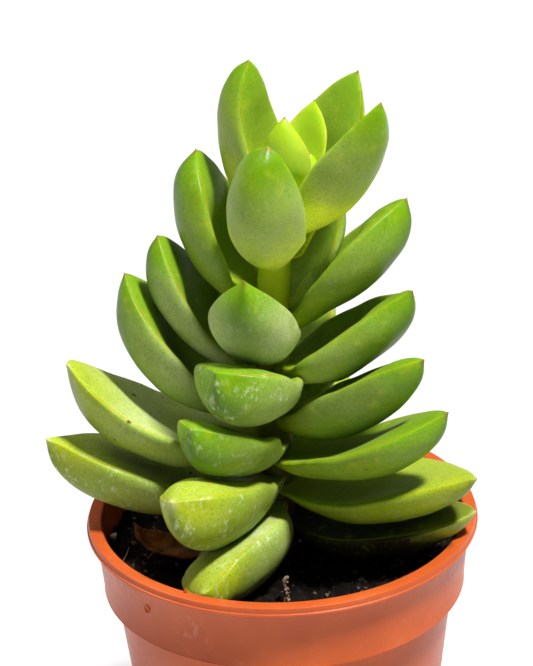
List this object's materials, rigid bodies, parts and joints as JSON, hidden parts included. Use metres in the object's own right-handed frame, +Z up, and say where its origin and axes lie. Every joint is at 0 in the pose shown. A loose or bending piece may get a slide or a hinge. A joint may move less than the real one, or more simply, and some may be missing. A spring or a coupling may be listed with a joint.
{
  "type": "potted succulent",
  "caption": "Young rosette succulent: pairs of thick, pointed, boat-shaped leaves stacked crosswise on an upright stem, in a small tapered nursery pot.",
  "frame": {"origin": "middle of the pot's flat underside", "axes": "+Z up along the pot's axis, +X to the right and -Y toward the viewer of the side that the picture shows"},
  "size_m": [0.0603, 0.055, 0.1171],
  "materials": {
    "terracotta_plastic": "satin",
    "potting_soil": "matte",
    "dead_twig": "matte",
    "young_stem": "satin",
    "green_leaf": "satin",
    "withered_leaf": "matte"
  },
  "bodies": {
    "root": {"pot": "terracotta_plastic", "soil": "potting_soil", "twig": "dead_twig", "stem": "young_stem", "leaf_right_1": "green_leaf", "leaf_left_1": "withered_leaf", "leaf_front_1": "green_leaf", "leaf_back_1": "green_leaf", "leaf_right_2": "green_leaf", "leaf_left_2": "green_leaf", "leaf_front_2": "green_leaf", "leaf_back_2": "green_leaf", "leaf_right_3": "green_leaf", "leaf_left_3": "green_leaf", "leaf_front_3": "green_leaf", "leaf_back_3": "green_leaf", "leaf_right_4": "green_leaf", "leaf_left_4": "green_leaf", "leaf_front_4": "green_leaf", "leaf_back_4": "green_leaf", "leaf_right_5": "green_leaf", "leaf_left_5": "green_leaf", "leaf_front_5": "green_leaf", "leaf_back_5": "green_leaf", "leaf_right_6": "green_leaf", "leaf_left_6": "green_leaf", "leaf_front_6": "green_leaf", "leaf_back_6": "green_leaf", "leaf_right_7": "green_leaf", "leaf_left_7": "green_leaf", "leaf_front_7": "green_leaf", "leaf_back_7": "green_leaf"}
  },
  "joints": []
}
